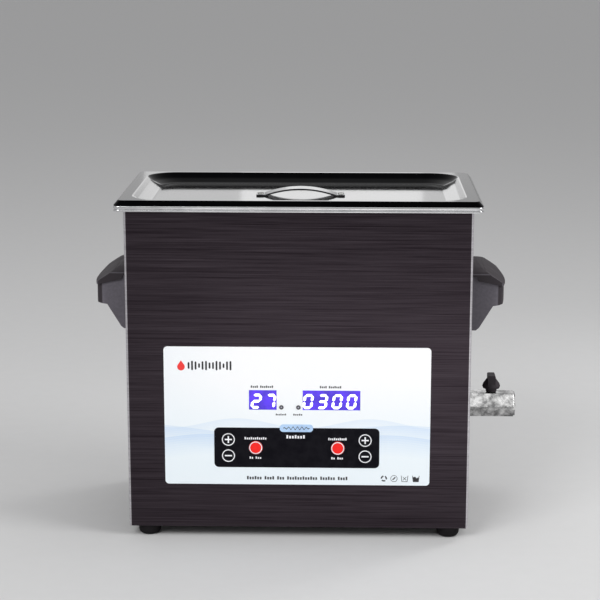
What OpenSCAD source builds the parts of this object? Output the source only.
// Heated bench-top ultrasonic cleaner: steel housing, deep-drawn tank, lid, basket and drain valve.
// Frame: +X to the right seen from the front, +Y to the rear, +Z up.
// The origin is on the table, under the centre of the housing.

/* [Housing] */
// Width of the housing
body_w = 325; // [320:1:330]
// Depth of the housing
body_d = 180; // [178:1:184]
// Height of the sheet walls
case_h = 309.5; // [305:0.5:312]
// Sheet thickness
sheet = 1; // [0.8:0.1:1.2]
// Outside radius of the folded vertical edges
bend_r = 2; // [1.5:0.1:3]
// Height of the rubber feet
foot_h = 10; // [8:0.5:12]
// Distance of the feet from the middle, left to right
foot_x = 144; // [135:1:146]
// Distance of the feet from the middle, front to rear
foot_y = 78; // [70:1:78]

/* [Tank and lid] */
// Inside length of the tank
tank_w = 300; // [290:1:300]
// Inside width of the tank
tank_d = 150; // [140:1:150]
// Inside depth of the tank
tank_depth = 150; // [145:1:155]
// How far the tank rim and the lid stand out past the housing
overhang = 8.6; // [7:0.1:10]
// Depth of the tray pressed into the lid
tray_depth = 9; // [8:0.5:12]

/* [Front panel] */
// Width of the control overlay
panel_w = 252; // [245:1:260]
// Height of the control overlay
panel_h = 135; // [130:1:140]
// Diameter of the round keys
key_d = 12.7; // [12:0.1:13]
// Travel of the keys
key_travel = 0.6; // [0.4:0.1:0.6]

/* [Drain valve] */
// Distance of the valve axis behind the middle
valve_y = 45; // [30:1:50]
// Height of the valve axis
valve_z = 97.5; // [95:0.5:105]
// Width of the valve's hexagon across its flats
valve_flats = 24; // [22:0.5:25]
// Radius of the threaded outlet
outlet_r = 7.475; // [7.2:0.025:7.5]

/* [Hidden] */
$fn = 48;
tiny = 0.02;

half_w = body_w / 2;
half_d = body_d / 2;
case_top = foot_h + case_h;
rear_y = half_d - sheet;
black_steel = [0.17, 0.15, 0.17];
bright_steel = [0.75, 0.75, 0.77];
black_plastic = [0.1, 0.1, 0.11];
pcb_green = [0.1, 0.35, 0.2];
zinc = [0.8, 0.8, 0.78];

// Tank levels: flange on the housing, sloping shoulder, straight basin
flange_top = case_top + 3.2;
rim_w = body_w + 2 * overhang;
rim_d = body_d + 2 * overhang;
shoulder_h = 16.7;
shoulder_z = flange_top - shoulder_h;
shoulder_grow = [6, 13];
basin_z = flange_top - tank_depth;
tank_under = basin_z - sheet;
basin_r = 22;

// Lid levels
lid_gap = 0.3;
lid_top = flange_top + 4.8;
tray_z = lid_top - tray_depth;
tray_in = [14.5, 8];
skirt_slope = 4;
strap_w = 18;
strap_t = 1.5;
strap_half = 38;
strap_top = tray_z + 7.5;
lid_tab_x = strap_half + 1;

// Front panel layout, measured from the panel's own centre line
panel_x = -1;
panel_z = 120.5;
face_y = -half_d;
overlay_t = 0.6;
film_t = 0.2;
film_size = [157, 39.2];
film_at = [panel_x - 0.4, 89.6];
key_z = film_at[1];
key_side = 65;
key_power = 39;
key_rise = 8;
key_hole_r = key_d / 2 + 0.35;
windows = [[-33.5, 26], [31.5, 54.3]];
window_z = 136.5;
window_h = 19;
led_x = [-15.9, 0.2];
led_z = 129.5;
led_r = 1.75;
board_y = face_y + 14;
board_t = 1.6;
board_size = [236, 100];
board_z = 114;
board_hole = [112, 44];

// Ultrasonic transducers under the tank
transducer_x = [-95, -15, 65];
front_mass_h = 25;
piezo_t = 5;
back_mass_h = 20;

// Generator board on the base plate
gen_at = [-60, 5];
gen_size = [150, 90];
gen_z = 25;
gen_hole = [68, 38];

// Rear fittings
fan_at = [75, 62];
fan_size = 60;
fan_depth = 15;
fan_r = 27;
inlet_at = [-105, 52];
switch_at = [-55, 52];

// Side handles
handle_half = 46;
handle_out = 37;
handle_screw_y = 30;
handle_screw_z = 228;

// Drain valve
valve_x = 193;
valve_end = 217;
valve_start = half_w + 2.5;
spigot_r = 7;
passage_r = 4.2;
ball_r = 7.6;
cavity_r = 8.2;
cavity_half = 8.2;
seat_t = 1.4;
stem_r = 3;
boss_top = valve_z + valve_flats / 2 + 0.8;
drain_x = 125;
hose_r = 9.5;
hose_bend = 22;
spigot_x = 150;

// Basket
basket_w = 262;
basket_d = 112;
basket_z = 188;
basket_top = 285;
basket_t = 1.5;
wire_r = 2;

module rounded_rect(w, d, r) {
    square([w - 2 * r, d], center = true);
    square([w, d - 2 * r], center = true);
    for (x = [-1, 1], y = [-1, 1])
        translate([x * (w / 2 - r), y * (d / 2 - r)]) circle(r);
}

// A thin level of a lofted shell
module level(z, w, d, r) {
    translate([0, 0, z]) linear_extrude(tiny) rounded_rect(w, d, r, $fn = 32);
}

// A cylinder along Y between two faces
module y_rod(x, z, y0, y1, r) {
    translate([x, y1, z]) rotate([90, 0, 0]) cylinder(r = r, h = y1 - y0);
}

// A cylinder along X between two faces
module x_rod(y, z, x0, x1, r) {
    translate([x0, y, z]) rotate([0, 90, 0]) cylinder(r = r, h = x1 - x0);
}

// A block from its middle in X and Z, and its two faces in Y
module y_block(x, z, w, h, y0, y1) {
    translate([x - w / 2, y0, z - h / 2]) cube([w, y1 - y0, h]);
}

// A rounded plate lying against a vertical face
module y_plate(x, z, w, h, r, y0, y1) {
    translate([x, y1, z]) rotate([90, 0, 0]) linear_extrude(y1 - y0) rounded_rect(w, h, r);
}

// Screw along Z, its head downwards
module screw_up(x, y, z, head_r, head_h, r, length) {
    translate([x, y, z - head_h]) cylinder(r = head_r, h = head_h);
    translate([x, y, z]) cylinder(r = r, h = length);
}

// Keys, windows and lamps pass through the front sheet and its films
module front_openings(slack) {
    for (side = [-1, 1], dz = [-key_rise, key_rise])
        y_rod(film_at[0] + side * key_side, key_z + dz, face_y - 2, face_y + 2, key_hole_r + slack);
    for (side = [-1, 1])
        y_rod(film_at[0] + side * key_power, key_z, face_y - 2, face_y + 2, key_hole_r + slack);
    for (w = windows)
        y_block(w[0], window_z, w[1] + 2 * slack, window_h + 2 * slack, face_y - 2, face_y + 2);
    for (x = led_x)
        y_rod(x, led_z, face_y - 2, face_y + 2, led_r + slack);
}

module case_screw_set(r, y0, y1) {
    for (x = [-1, 1], z = [30, 165, 300])
        y_rod(x * (half_w - 8), z, y0, y1, r);
}

module side_screw_set(r, x0, x1) {
    for (side = [-1, 1], y = [-60, 60])
        x_rod(y, foot_h + 7, side > 0 ? x0 : -x1, side > 0 ? x1 : -x0, r);
}

module case_wrap() {
    flange = 14;
    color(black_steel) difference() {
        translate([0, 0, foot_h]) linear_extrude(case_h) difference() {
            intersection() {
                rounded_rect(body_w, body_d, bend_r);
                translate([-half_w, -half_d]) square([body_w, body_d - sheet]);
            }
            intersection() {
                rounded_rect(body_w - 2 * sheet, body_d - 2 * sheet, bend_r - sheet);
                translate([-half_w, -half_d]) square([body_w, body_d - 2 * sheet]);
            }
            translate([-half_w + flange, 0]) square([body_w - 2 * flange, body_d]);
        }
        front_openings(0.1);
        side_screw_set(2.1, half_w - 3, half_w + 3);
        case_screw_set(2.1, rear_y - 3, half_d + 1);
        for (side = [-1, 1], y = [-handle_screw_y, handle_screw_y])
            x_rod(y, handle_screw_z, side * half_w - 3, side * half_w + 3, 2.2);
        x_rod(valve_y, valve_z, half_w - 3, half_w + 3, spigot_r + 0.1);
    }
}

module rear_panel() {
    color(black_steel) difference() {
        y_block(0, foot_h + case_h / 2, body_w, case_h, rear_y, half_d);
        case_screw_set(2.1, rear_y - 1, half_d + 1);
        for (i = [-3:3])
            y_plate(fan_at[0], fan_at[1] + 7 * i, 2 * sqrt(fan_r * fan_r - 49 * i * i) - 2, 3.4, 1.6,
                rear_y - 1, half_d + 1);
        for (x = [-1, 1], z = [-1, 1])
            y_rod(fan_at[0] + 25 * x, fan_at[1] + 25 * z, rear_y - 1, half_d + 1, 2.1);
        for (column = [-2:2], row = [0:5])
            y_plate(column * 48, 210 + 9 * row, 36, 3.4, 1.6, rear_y - 1, half_d + 1);
        y_block(inlet_at[0], inlet_at[1], 28.4, 31.4, rear_y - 1, half_d + 1);
        for (x = [-1, 1])
            y_rod(inlet_at[0] + 20 * x, inlet_at[1], rear_y - 1, half_d + 1, 1.7);
        y_block(switch_at[0], switch_at[1], 19.4, 13.6, rear_y - 1, half_d + 1);
    }
}

module base_plate() {
    inside_w = body_w - 2 * sheet - 0.2;
    inside_d = body_d - 3 * sheet - 0.2;
    color(black_steel) difference() {
        translate([0, -sheet / 2, foot_h]) difference() {
            linear_extrude(14) rounded_rect(inside_w, inside_d, 1);
            translate([0, 0, sheet]) linear_extrude(14)
                rounded_rect(inside_w - 2 * sheet, inside_d - 2 * sheet, 0.5);
        }
        for (x = [-1, 1], y = [-1, 1])
            translate([x * foot_x, y * foot_y, foot_h - 1]) cylinder(r = 2.2, h = 4);
        side_screw_set(2, half_w - 5, half_w);
        for (x = [-1, 1], y = [-1, 1])
            translate([gen_at[0] + x * gen_hole[0], gen_at[1] + y * gen_hole[1], foot_h - 1])
                cylinder(r = 1.6, h = 4);
        for (row = [0:6])
            translate([60 + 9 * row, 0, foot_h - 1]) linear_extrude(4) rounded_rect(3.4, 70, 1.6);
    }
}

// M4 pan-head screws of the sides and of the rear panel
module case_screws() {
    color(zinc) {
        side_screw_set(1.95, half_w - 6, half_w);
        side_screw_set(3.6, half_w, half_w + 1.8);
        case_screw_set(1.95, rear_y - 5, half_d);
        case_screw_set(3.6, half_d, half_d + 1.8);
        for (x = [-1, 1], z = [-1, 1]) {
            y_rod(fan_at[0] + 25 * x, fan_at[1] + 25 * z, rear_y - fan_depth, half_d, 1.95);
            y_rod(fan_at[0] + 25 * x, fan_at[1] + 25 * z, half_d, half_d + 1.8, 3.6);
        }
    }
}

module rubber_feet() {
    top_r = 11.4;
    sole_r = 7;
    edge_r = 5;
    color(black_plastic) for (x = [-1, 1], y = [-1, 1])
        translate([x * foot_x, y * foot_y, 0]) rotate_extrude() polygon(concat(
            [[4, 0]],
            [for (a = [-90:15:0]) [sole_r + (top_r - sole_r - 0.6) * cos(a), edge_r + edge_r * sin(a)]],
            [[top_r, foot_h], [2.05, foot_h], [2.05, 7.5], [4.3, 7.5], [4.3, 5], [4, 5]]));
}

module foot_screws() {
    color(zinc) for (x = [-1, 1], y = [-1, 1])
        screw_up(x * foot_x, y * foot_y, 7.5, 3.6, 1.8, 2, foot_h + sheet + 4.5 - 7.5);
}

module foot_nuts() {
    color(zinc) for (x = [-1, 1], y = [-1, 1])
        translate([x * foot_x, y * foot_y, foot_h + sheet]) difference() {
            cylinder(r = 4, h = 3.2, $fn = 6);
            translate([0, 0, -1]) cylinder(r = 2, h = 6);
        }
}

// Inside (grow = 0) or outside (grow = sheet) of the drawn tank
module tank_form(grow) {
    g = 2 * grow;
    draft = 1;
    hull() {
        level(flange_top - tiny + (grow > 0 ? 0 : 1), tank_w + 2 * shoulder_grow[0] + g,
            tank_d + 2 * shoulder_grow[1] + g, basin_r + 6);
        level(shoulder_z, tank_w + g, tank_d + g, basin_r + grow);
    }
    hull() {
        level(shoulder_z + 0.1, tank_w + g, tank_d + g, basin_r + grow);
        level(basin_z + 12 - grow, tank_w - draft + g, tank_d - draft + g, basin_r + grow);
        level(basin_z + 3.5 - grow, tank_w - 7 + g, tank_d - 7 + g, basin_r - 2 + grow);
        level(basin_z - grow, tank_w - 24 + g, tank_d - 24 + g, basin_r - 7 + grow);
    }
}

module tank() {
    lip_h = 5.4;
    groove = 0.6;
    color(bright_steel) difference() {
        union() {
            tank_form(sheet);
            translate([0, 0, flange_top - sheet]) linear_extrude(sheet) rounded_rect(rim_w, rim_d, 6);
            translate([0, 0, flange_top - lip_h]) linear_extrude(lip_h - sheet / 2) difference() {
                rounded_rect(rim_w, rim_d, 6);
                rounded_rect(rim_w - 2.4, rim_d - 2.4, 4.8);
            }
        }
        tank_form(0);
        translate([0, 0, flange_top - lip_h / 2 - groove / 2]) linear_extrude(groove) difference() {
            rounded_rect(rim_w + 2, rim_d + 2, 7);
            rounded_rect(rim_w - 1.2, rim_d - 1.2, 5.4);
        }
        translate([drain_x, valve_y, tank_under - 2]) cylinder(r = spigot_r + 0.1, h = 6);
    }
}

module rim_seal() {
    color(black_plastic) translate([0, 0, case_top]) linear_extrude(flange_top - sheet - case_top)
        difference() {
            rounded_rect(body_w + 2, body_d + 2, 3);
            rounded_rect(body_w - 8, body_d - 2.2, 1.5);
        }
}

module heater_pads() {
    color([0.55, 0.25, 0.15]) for (side = [-1, 1])
        y_block(0, basin_z + 60, 210, 60, side > 0 ? tank_d / 2 + sheet : -tank_d / 2 - sheet - 2,
            side > 0 ? tank_d / 2 + sheet + 2 : -tank_d / 2 - sheet);
}

module temperature_probe() {
    color(zinc) x_rod(0, basin_z + 40, -tank_w / 2 - sheet - 7, -tank_w / 2 - sheet, 6);
}

module transducers_at(depth) {
    for (x = transducer_x)
        translate([x, 0, tank_under - depth]) children();
}

module front_masses() {
    color([0.8, 0.81, 0.83]) transducers_at(front_mass_h) rotate_extrude()
        polygon([[5.1, 0], [19, 0], [19, 8], [22.5, 16], [22.5, front_mass_h], [5.1, front_mass_h]]);
}

module piezo_rings() {
    color([0.3, 0.28, 0.25]) for (i = [1, 2])
        transducers_at(front_mass_h + i * piezo_t) difference() {
            cylinder(r = 19, h = piezo_t - 0.3);
            translate([0, 0, -1]) cylinder(r = 7.5, h = piezo_t + 2);
        }
}

module back_masses() {
    color([0.45, 0.45, 0.47]) transducers_at(front_mass_h + 2 * piezo_t + back_mass_h) difference() {
        cylinder(r = 19.5, h = back_mass_h);
        translate([0, 0, -1]) cylinder(r = 5.1, h = back_mass_h + 2);
    }
}

module transducer_bolts() {
    stack = front_mass_h + 2 * piezo_t + back_mass_h;
    color(zinc) transducers_at(stack) {
        cylinder(r = 5, h = stack - 4);
        translate([0, 0, -8]) cylinder(r = 8, h = 8);
    }
}

module front_overlay() {
    color([0.96, 0.97, 0.98]) difference() {
        y_plate(panel_x, panel_z, panel_w, panel_h, 3.5, face_y - overlay_t, face_y);
        front_openings(0.1);
    }
}

module key_film() {
    color([0.1, 0.09, 0.11]) difference() {
        y_plate(film_at[0], film_at[1], film_size[0], film_size[1], 4.5,
            face_y - overlay_t - film_t, face_y - overlay_t);
        front_openings(0);
    }
}

module display_windows() {
    color([0.35, 0.3, 0.85]) for (w = windows)
        y_block(w[0], window_z, w[1], window_h, face_y - overlay_t - 0.1, face_y + 2);
}

module display_modules() {
    color([0.15, 0.15, 0.16]) for (w = windows)
        y_block(w[0], window_z, w[1] + 2, window_h + 1, face_y + 2, board_y);
}

module indicator_leds() {
    color([0.5, 0.5, 0.55]) for (x = led_x)
        y_rod(x, led_z, face_y - overlay_t - 0.4, board_y, led_r);
}

// Control board with its four spacers to the front sheet
module control_board() {
    color(pcb_green) difference() {
        union() {
            y_plate(panel_x, board_z, board_size[0], board_size[1], 2, board_y, board_y + board_t);
            for (x = [-1, 1], z = [-1, 1])
                y_rod(panel_x + x * board_hole[0], board_z + z * board_hole[1], face_y + sheet, board_y, 3);
        }
        for (x = [-1, 1], z = [-1, 1])
            y_rod(panel_x + x * board_hole[0], board_z + z * board_hole[1], board_y - 6, board_y + 3, 1.5);
    }
}

// M3 screws of both boards and of the mains inlet
module small_screws() {
    color(zinc) {
        for (side = [-1, 1]) {
            y_rod(inlet_at[0] + 20 * side, inlet_at[1], rear_y - 3, half_d + 2, 1.6);
            y_rod(inlet_at[0] + 20 * side, inlet_at[1], half_d + 2, half_d + 3.6, 3);
        }
        for (x = [-1, 1], z = [-1, 1]) {
            y_rod(panel_x + x * board_hole[0], board_z + z * board_hole[1], board_y - 5,
                board_y + board_t, 1.45);
            y_rod(panel_x + x * board_hole[0], board_z + z * board_hole[1], board_y + board_t,
                board_y + board_t + 2, 2.8);
        }
        for (x = [-1, 1], y = [-1, 1])
            translate([gen_at[0] + x * gen_hole[0], gen_at[1] + y * gen_hole[1], foot_h]) {
                cylinder(r = 1.5, h = gen_z + board_t - foot_h);
                translate([0, 0, gen_z + board_t - foot_h]) cylinder(r = 2.8, h = 2);
            }
    }
}

module tact_switches() {
    color([0.2, 0.2, 0.2]) {
        for (side = [-1, 1], dz = [-key_rise, key_rise])
            tact_switch(film_at[0] + side * key_side, key_z + dz);
        for (side = [-1, 1])
            tact_switch(film_at[0] + side * key_power, key_z);
    }
}

module tact_switch(x, z) {
    y_block(x, z, 6, 6, board_y - 3.5, board_y);
    y_rod(x, z, board_y - 4.2, board_y - 3.5, 1.75);
}

module ribbon_cable() {
    start = board_y + board_t;
    color([0.7, 0.7, 0.72]) translate([-70, 0, 0]) rotate([90, 0, 90]) linear_extrude(20) polygon([
        [start, 71], [start, 70], [start + 9, 70], [start + 9, 40], [-32, 40], [-32, gen_z + board_t],
        [-31, gen_z + board_t], [-31, 41], [start + 10, 41], [start + 10, 71]]);
}

// Generator board with its spacers to the base plate
module generator_board() {
    color(pcb_green) difference() {
        union() {
            translate([gen_at[0], gen_at[1], gen_z]) linear_extrude(board_t)
                rounded_rect(gen_size[0], gen_size[1], 2);
            for (x = [-1, 1], y = [-1, 1])
                translate([gen_at[0] + x * gen_hole[0], gen_at[1] + y * gen_hole[1], foot_h + sheet])
                    cylinder(r = 3, h = gen_z - foot_h - sheet);
        }
        for (x = [-1, 1], y = [-1, 1])
            translate([gen_at[0] + x * gen_hole[0], gen_at[1] + y * gen_hole[1], foot_h])
                cylinder(r = 1.55, h = 30);
    }
}

// Transformer, choke, capacitors and relays standing on the generator board
module power_parts() {
    color([0.25, 0.25, 0.2]) translate([0, 0, gen_z + board_t]) {
        translate([-110, -20, 0]) cube([35, 30, 28]);
        translate([-118, 20, 0]) cube([22, 22, 18]);
        for (x = [-52, -24]) translate([x, 32, 0]) cylinder(r = 11, h = 30);
        for (x = [-28, -8]) translate([x - 8, -34, 0]) cube([16, 20, 16]);
    }
}

module heatsink() {
    color([0.7, 0.71, 0.73]) translate([-60, -4, gen_z + board_t]) {
        cube([50, 22, 3]);
        for (i = [0:8]) translate([i * 6, 0, 3]) cube([2, 22, 22]);
    }
}

// One lead from the generator board to each transducer
module lead_wires() {
    lead_z = tank_under - front_mass_h - piezo_t - 2;
    board_end = gen_at[0] + gen_size[0] / 2 - 12;
    color([0.75, 0.1, 0.1]) for (x = transducer_x) {
        start_x = min(x, board_end);
        translate([start_x, 45, gen_z + board_t]) cylinder(r = 1.2, h = lead_z - gen_z - board_t);
        translate([start_x, 45, lead_z]) sphere(r = 1.2);
        if (start_x < x)
            x_rod(45, lead_z, start_x, x, 1.2);
        translate([x, 45, lead_z]) sphere(r = 1.2);
        y_rod(x, lead_z, 19.2, 45, 1.2);
    }
}

module fan_frame() {
    hub_y = rear_y - fan_depth;
    color(black_plastic) difference() {
        union() {
            difference() {
                y_plate(fan_at[0], fan_at[1], fan_size, fan_size, 4, hub_y, rear_y);
                y_rod(fan_at[0], fan_at[1], hub_y - 1, rear_y + 1, fan_r + 1);
            }
            for (angle = [0, 60, 120])
                translate([fan_at[0], hub_y + 1, fan_at[1]]) rotate([0, angle, 0])
                    cube([2 * fan_r + 4, 2, 3], center = true);
            y_rod(fan_at[0], fan_at[1], hub_y, hub_y + 5, 8);
        }
        y_rod(fan_at[0], fan_at[1], hub_y - 1, rear_y, 1.55);
        for (x = [-1, 1], z = [-1, 1])
            y_rod(fan_at[0] + 25 * x, fan_at[1] + 25 * z, hub_y - 1, rear_y + 1, 2);
    }
}

module fan_rotor() {
    hub_y = rear_y - fan_depth;
    blades = 7;
    color([0.15, 0.15, 0.16]) {
        y_rod(fan_at[0], fan_at[1], hub_y + 1, hub_y + 6, 1.5);
        y_rod(fan_at[0], fan_at[1], hub_y + 5.5, rear_y - 1, 11);
        for (i = [0:blades - 1])
            translate([fan_at[0], hub_y + 9.6, fan_at[1]]) rotate([0, i * 360 / blades, 0])
                translate([18, 0, 0]) rotate([35, 0, 0]) cube([15.6, 1.2, 9], center = true);
    }
}

module inlet_socket() {
    x = inlet_at[0];
    z = inlet_at[1];
    color(black_plastic) difference() {
        union() {
            y_plate(x, z, 50, 34, 4, half_d, half_d + 2);
            y_block(x, z, 28, 31, half_d - 26, half_d);
        }
        y_plate(x, z + 4.5, 24, 16.5, 2, half_d - 14, half_d + 3);
        y_block(x, z - 10, 21.8, 8.2, half_d - 22, half_d + 3);
        for (side = [-1, 1])
            y_rod(x + 20 * side, z, half_d - 1, half_d + 3, 1.7);
        for (side = [-1, 0, 1])
            y_block(x + 7 * side, z + 3 + (side == 0 ? 4 : 0), 2, 4, half_d - 28, half_d - 13);
    }
}

module inlet_pins() {
    color(zinc) for (side = [-1, 0, 1])
        y_block(inlet_at[0] + 7 * side, inlet_at[1] + 3 + (side == 0 ? 4 : 0), 2, 4, half_d - 32, half_d - 1);
}

module fuse_drawer() {
    x = inlet_at[0];
    z = inlet_at[1] - 10;
    color([0.2, 0.2, 0.21]) difference() {
        union() {
            y_block(x, z, 21, 7.4, half_d - 21, half_d + 2);
            y_block(x, z, 23, 9, half_d + 2.4, half_d + 4);
            y_block(x, z, 20, 6.4, half_d + 2, half_d + 2.4);
        }
        y_block(x, z + 1, 5.4, 6.4, half_d - 20, half_d + 0.5);
    }
}

module fuse() {
    color([0.85, 0.87, 0.85]) y_rod(inlet_at[0], inlet_at[1] - 9.5, half_d - 20, half_d + 0.5, 2.6);
}

module switch_frame() {
    x = switch_at[0];
    z = switch_at[1];
    color(black_plastic) difference() {
        union() {
            y_plate(x, z, 23, 17.4, 1.5, half_d, half_d + 2);
            y_block(x, z, 19, 13.4, half_d - 16, half_d);
        }
        y_block(x, z, 16, 12.9, half_d - 9, half_d + 3);
        x_rod(half_d - 2, z, x - 9, x + 9, 1.05);
    }
}

module switch_rocker() {
    tilt = 9;
    color([0.55, 0.08, 0.08]) translate([switch_at[0], half_d - 2, switch_at[1]]) {
        rotate([tilt, 0, 0]) rotate([90, 0, 90]) translate([0, 0, -7.6]) linear_extrude(15.2)
            polygon([[-4, -2.8], [-4, 2.8], [4.4, 5.3], [3.2, 0], [4.4, -5.3]]);
        x_rod(0, 0, -8.8, 8.8, 1);
    }
}

// Plan of a handle: bowed outwards, its outer corners rounded
function handle_plan(out, half, corner_r) =
    let (bow = 440, x_end = out - (half - corner_r) * (half - corner_r) / bow) concat(
        [[-1, -half]],
        [for (a = [-90:18:-18]) [x_end - corner_r + corner_r * cos(a), corner_r - half + corner_r * sin(a)]],
        [for (i = [-6:6]) let (y = i * (half - corner_r) / 6) [out - y * y / bow, y]],
        [for (a = [18:18:90]) [x_end - corner_r + corner_r * cos(a), half - corner_r + corner_r * sin(a)]],
        [[-1, half]]);

// Part of a handle from its side profile, outwards and up, and its plan
module handle_part(profile, out, half, corner_r) {
    intersection() {
        rotate([90, 0, 0]) linear_extrude(2 * half + 2, center = true) polygon(profile);
        translate([0, 0, 180]) linear_extrude(90) polygon(handle_plan(out, half, corner_r));
    }
}

// Crowned dome over a body set back from it, with a finger pocket open below.
// Each profile is a side view, outwards and up.
module moulded_handle() {
    crown_r = 150;
    crown_z = 256;
    set_back = 1;
    lip_x = handle_out - 9.5;
    dome_profile = [[0, crown_z], [8, crown_z - 1.5], [16.5, crown_z - 5], [24.6, crown_z - 10],
        [30.9, crown_z - 14.2], [35.2, crown_z - 17.2], [handle_out - 0.2, crown_z - 18.1],
        [handle_out + 1, 236.8], [8.5, 243.2], [7, 247], [0, 247]];
    body_profile = [[0, 248], [20, 246], [30, 241.5], [handle_out - set_back, 237],
        [handle_out - set_back, 222], [handle_out - 3, 220], [23, 218.5], [10, 197], [7, 194.5], [0, 194.5]];
    pocket_profile = [[3.5, 180], [3.5, 241], [7, 244], [18, 243], [24, 240], [lip_x, 234],
        [lip_x, 219], [lip_x + 5.5, 214], [lip_x + 5.5, 180]];
    difference() {
        union() {
            handle_part(body_profile, handle_out - set_back, handle_half - 1.5, 8);
            intersection() {
                handle_part(dome_profile, handle_out, handle_half, 4);
                x_rod(0, crown_z - crown_r, -1, handle_out + 1, crown_r, $fn = 180);
            }
        }
        rotate([90, 0, 0]) linear_extrude(2 * (handle_half - 6), center = true) polygon(pocket_profile);
        for (y = [-handle_screw_y, handle_screw_y])
            x_rod(y, handle_screw_z, -1, 8, 1.95);
    }
}

module left_handle() {
    color(black_plastic) mirror([1, 0, 0]) translate([half_w, 0, 0]) moulded_handle();
}

module right_handle() {
    color(black_plastic) translate([half_w, 0, 0]) moulded_handle();
}

module handle_screws() {
    color(zinc) for (side = [0, 1], y = [-handle_screw_y, handle_screw_y])
        mirror([side, 0, 0]) {
            x_rod(y, handle_screw_z, half_w - sheet, half_w + 3, 1.9);
            x_rod(y, handle_screw_z, half_w - sheet - 2, half_w - sheet, 3.6);
        }
}

module drain_fitting() {
    color(zinc) translate([drain_x, valve_y, 0]) difference() {
        union() {
            translate([0, 0, 148]) cylinder(r = spigot_r, h = basin_z - 148 + 0.5);
            translate([0, 0, basin_z]) cylinder(r = 14, h = 1.5);
        }
        translate([0, 0, 147]) cylinder(r = 5, h = 40);
    }
}

module drain_nut() {
    color(zinc) translate([drain_x, valve_y, tank_under - 6]) difference() {
        cylinder(r = 12.5, h = 6, $fn = 6);
        translate([0, 0, -1]) cylinder(r = spigot_r, h = 8);
    }
}

module tube(r_out, r_in, h) {
    linear_extrude(h) difference() {
        circle(r_out);
        circle(r_in);
    }
}

// Silicone hose from the tank fitting down and round to the valve
module drain_hose() {
    bend_x = drain_x + hose_bend;
    bend_z = valve_z + hose_bend;
    reach = hose_bend + hose_r + 1;
    color([0.8, 0.8, 0.75]) translate([0, valve_y, 0]) {
        translate([drain_x, 0, bend_z]) tube(hose_r, spigot_r, 162 - bend_z);
        translate([bend_x, 0, valve_z]) rotate([0, 90, 0]) tube(hose_r, spigot_r, spigot_x + 5 - bend_x);
        translate([bend_x, 0, bend_z]) intersection() {
            rotate([90, 0, 0]) rotate_extrude() translate([hose_bend, 0]) difference() {
                circle(hose_r);
                circle(spigot_r);
            }
            translate([-reach, -reach, -reach]) cube([reach, 2 * reach, reach]);
        }
    }
}

module hexagon_x(x0, x1, flats) {
    translate([x0, valve_y, valve_z]) rotate([0, 90, 0]) rotate([0, 0, 30])
        cylinder(r = flats / 2 / cos(30), h = x1 - x0, $fn = 6);
}

module valve_body() {
    color(bright_steel) difference() {
        union() {
            hexagon_x(valve_start, valve_end - 1.5, valve_flats);
            hexagon_x(valve_start, valve_end, valve_flats - 2);
            x_rod(valve_y, valve_z, spigot_x, valve_start, spigot_r);
            translate([valve_x, valve_y, valve_z + cavity_r + 0.6])
                cylinder(r = 5.2, h = boss_top - valve_z - cavity_r - 0.6);
        }
        x_rod(valve_y, valve_z, spigot_x - 1, valve_end - 5, passage_r);
        x_rod(valve_y, valve_z, valve_x - cavity_half, valve_x + cavity_half, cavity_r);
        x_rod(valve_y, valve_z, valve_end - 11, valve_end + 1, outlet_r);
        translate([valve_x, valve_y, valve_z + 5]) cylinder(r = stem_r + 0.05, h = 20);
    }
}

module valve_washer() {
    color(black_plastic) difference() {
        x_rod(valve_y, valve_z, half_w, valve_start, 11.5);
        x_rod(valve_y, valve_z, half_w - 1, valve_start + 1, spigot_r + 0.1);
    }
}

module valve_nut() {
    color(zinc) difference() {
        hexagon_x(half_w - sheet - 5, half_w - sheet, 20);
        x_rod(valve_y, valve_z, half_w - 8, half_w, spigot_r + 0.02);
    }
}

// Two sealing rings that hold the ball
module valve_seats() {
    color("white") for (x = [-cavity_half, cavity_half - seat_t]) difference() {
        x_rod(valve_y, valve_z, valve_x + x, valve_x + x + seat_t, cavity_r - 0.05);
        x_rod(valve_y, valve_z, valve_x + x - 1, valve_x + x + seat_t + 1, passage_r);
    }
}

module valve_ball() {
    color(zinc) translate([valve_x, valve_y, valve_z]) difference() {
        sphere(r = ball_r);
        y_rod(0, 0, -ball_r - 1, ball_r + 1, passage_r);
        translate([-5, -5, 6.6]) cube([10, 10, 3]);
    }
}

// Tee handle in one piece with its stem, closed across the pipe
module valve_handle() {
    color(black_plastic) translate([valve_x, valve_y, 0]) {
        translate([0, 0, valve_z + 6.6]) cylinder(r = stem_r, h = 12);
        translate([0, 0, boss_top + 0.5]) rotate_extrude()
            polygon([[0, 0], [5.6, 0], [5.6, 2.6], [8.4, 3.2], [9.1, 5.2], [8.2, 8], [4.6, 13], [0, 13]]);
        translate([0, 7.8, boss_top + 3.2]) rotate([90, 0, 0]) linear_extrude(15.6)
            translate([0, 7.2]) rounded_rect(7.6, 14.4, 1.2);
    }
}

// Inside (grow = 0) or underside (grow = sheet) of the pressed tray
module tray_form(grow) {
    g = 2 * grow;
    hull() {
        level(lid_top - grow + (grow > 0 ? 0 : 0.1), rim_w - 2 * tray_in[0] + g,
            rim_d - 2 * tray_in[1] + g, 30);
        level(flange_top - grow, tank_w + 2 + g, tank_d + 19 + g, 26);
        level(tray_z - grow, tank_w - 17 + g, tank_d + 1 + g, 20);
    }
}

// Rim of the lid, its edge sloping outwards and down
module lid_skirt(z0, z1, inset) {
    g = 2 * inset;
    hull() {
        level(z0, rim_w - g, rim_d - g, 6 - inset);
        level(z1, rim_w - 2 * skirt_slope - g, rim_d - 2 * skirt_slope - g, 5 - inset);
    }
}

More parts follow.
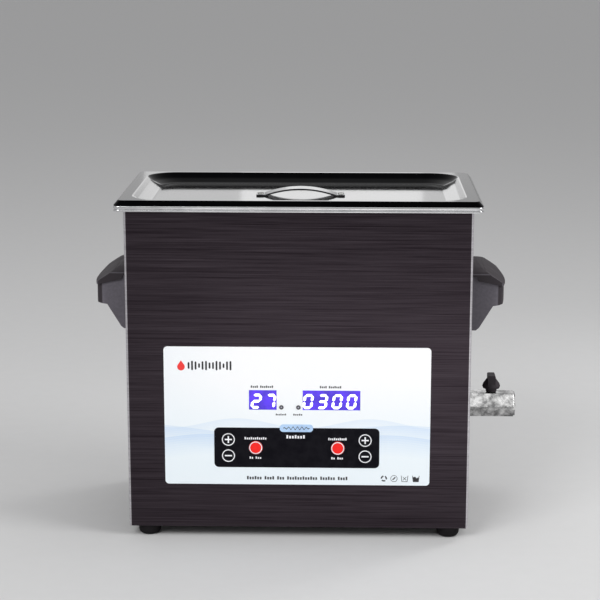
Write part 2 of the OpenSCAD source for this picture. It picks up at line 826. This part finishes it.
module lid_shell() {
    color([0.04, 0.04, 0.05]) difference() {
        union() {
            difference() {
                lid_skirt(flange_top + lid_gap, lid_top - tiny, 0);
                lid_skirt(flange_top - 1, lid_top - sheet, sheet);
            }
            tray_form(sheet);
        }
        tray_form(0);
        for (x = [-1, 1])
            translate([x * lid_tab_x, 0, tray_z - 2]) cylinder(r = 2.2, h = 4);
    }
}

// Arched strap with a flat tab at each end
module lid_handle() {
    rise = strap_top - tray_z;
    arch_r = (strap_half * strap_half + rise * rise) / (2 * rise);
    arch_z = strap_top - arch_r;
    color(bright_steel) difference() {
        union() {
            intersection() {
                translate([0, strap_w / 2, arch_z]) rotate([90, 0, 0]) linear_extrude(strap_w) difference() {
                    circle(arch_r, $fn = 180);
                    circle(arch_r - strap_t, $fn = 180);
                }
                translate([-strap_half, -strap_w / 2, tray_z])
                    cube([2 * strap_half, strap_w, rise + 1]);
            }
            for (x = [-1, 1])
                translate([x * lid_tab_x, 0, tray_z]) linear_extrude(strap_t)
                    rounded_rect(8, strap_w, 2);
        }
        for (x = [-1, 1])
            translate([x * lid_tab_x, 0, tray_z - 1]) cylinder(r = 2.1, h = 10);
    }
}

// Screws through the strap's tabs, each with its nut under the tray
module lid_screws() {
    color(zinc) for (x = [-1, 1]) translate([x * lid_tab_x, 0, 0]) {
        translate([0, 0, tray_z - 4]) cylinder(r = 2, h = 4 + strap_t);
        translate([0, 0, tray_z + strap_t]) cylinder(r = 3, h = 1.2);
        translate([0, 0, tray_z - sheet - 3]) cylinder(r = 4, h = 3, $fn = 6);
    }
}

// Flat grid with square holes, lying in XY
module grid(w, d, pitch) {
    bar = 2.4;
    nx = floor((w - bar) / pitch);
    ny = floor((d - bar) / pitch);
    step_x = (w - bar) / nx;
    step_y = (d - bar) / ny;
    linear_extrude(basket_t) difference() {
        square([w, d]);
        for (i = [0:nx - 1], j = [0:ny - 1])
            translate([bar + i * step_x, bar + j * step_y]) square([step_x - bar, step_y - bar]);
    }
}

module basket_floor() {
    color(bright_steel) translate([-basket_w / 2, -basket_d / 2, basket_z]) grid(basket_w, basket_d, 20);
}

// Four woven walls, a hair apart at the corners and held by the floor and the rim
module basket_sides() {
    corner_gap = 0.1;
    wall_z = basket_z + basket_t;
    wall_h = basket_top - wall_z;
    color(bright_steel) {
        for (y = [-basket_d / 2 + basket_t, basket_d / 2])
            translate([-basket_w / 2, y, wall_z]) rotate([90, 0, 0]) grid(basket_w, wall_h, 20);
        for (x = [-basket_w / 2, basket_w / 2 - basket_t])
            translate([x, -basket_d / 2 + basket_t + corner_gap, wall_z]) rotate([90, 0, 90])
                grid(basket_d - 2 * basket_t - 2 * corner_gap, wall_h, 20);
    }
}

// Rim of the basket with a hooked grip at each end
module basket_frame() {
    grip_z = flange_top - 14;
    grip_x = tank_w / 2 - 2;
    color(bright_steel) {
        translate([0, 0, basket_top]) linear_extrude(3) difference() {
            rounded_rect(basket_w + 4, basket_d + 4, 3);
            rounded_rect(basket_w - 4, basket_d - 4, 1);
        }
        for (side = [0, 1], y = [-25, 25]) mirror([side, 0, 0]) {
            translate([basket_w / 2, y, basket_top + 1]) cylinder(r = wire_r, h = grip_z - basket_top - 1);
            translate([basket_w / 2, y, grip_z]) sphere(r = wire_r);
            x_rod(y, grip_z, basket_w / 2, grip_x, wire_r);
            translate([grip_x, y, grip_z]) sphere(r = wire_r);
        }
        for (side = [-1, 1])
            y_rod(side * grip_x, grip_z, -25, 25, wire_r);
    }
}

// Key cap with a collar behind the front sheet and a plunger
module key_cap(x, z, tint) {
    back = face_y + sheet + 0.4;
    color(tint) {
        y_rod(x, z, face_y - overlay_t - 0.9, back, key_d / 2);
        y_rod(x, z, back, back + 1, key_d / 2 + 1.1);
        y_rod(x, z, back + 1, board_y - 4.2 - key_travel - 0.4, 1.5);
    }
}

module temp_up_key() {
    key_cap(film_at[0] - key_side, key_z + key_rise, [0.9, 0.9, 0.9]);
}

module temp_down_key() {
    key_cap(film_at[0] - key_side, key_z - key_rise, [0.9, 0.9, 0.9]);
}

module heat_key() {
    key_cap(film_at[0] - key_power, key_z, [0.98, 0.18, 0.17]);
}

module sonic_key() {
    key_cap(film_at[0] + key_power, key_z, [0.98, 0.18, 0.17]);
}

module time_up_key() {
    key_cap(film_at[0] + key_side, key_z + key_rise, [0.9, 0.9, 0.9]);
}

module time_down_key() {
    key_cap(film_at[0] + key_side, key_z - key_rise, [0.9, 0.9, 0.9]);
}

case_wrap();
rear_panel();
base_plate();
case_screws();
rubber_feet();
foot_screws();
foot_nuts();
tank();
rim_seal();
heater_pads();
temperature_probe();
front_masses();
piezo_rings();
back_masses();
transducer_bolts();
front_overlay();
key_film();
display_windows();
display_modules();
indicator_leds();
control_board();
small_screws();
tact_switches();
ribbon_cable();
generator_board();
power_parts();
heatsink();
lead_wires();
fan_frame();
fan_rotor();
inlet_socket();
inlet_pins();
fuse_drawer();
fuse();
switch_frame();
switch_rocker();
left_handle();
right_handle();
handle_screws();
drain_fitting();
drain_nut();
drain_hose();
valve_body();
valve_washer();
valve_nut();
valve_seats();
valve_ball();
valve_handle();
lid_shell();
lid_handle();
lid_screws();
basket_floor();
basket_sides();
basket_frame();
temp_up_key();
temp_down_key();
heat_key();
sonic_key();
time_up_key();
time_down_key();
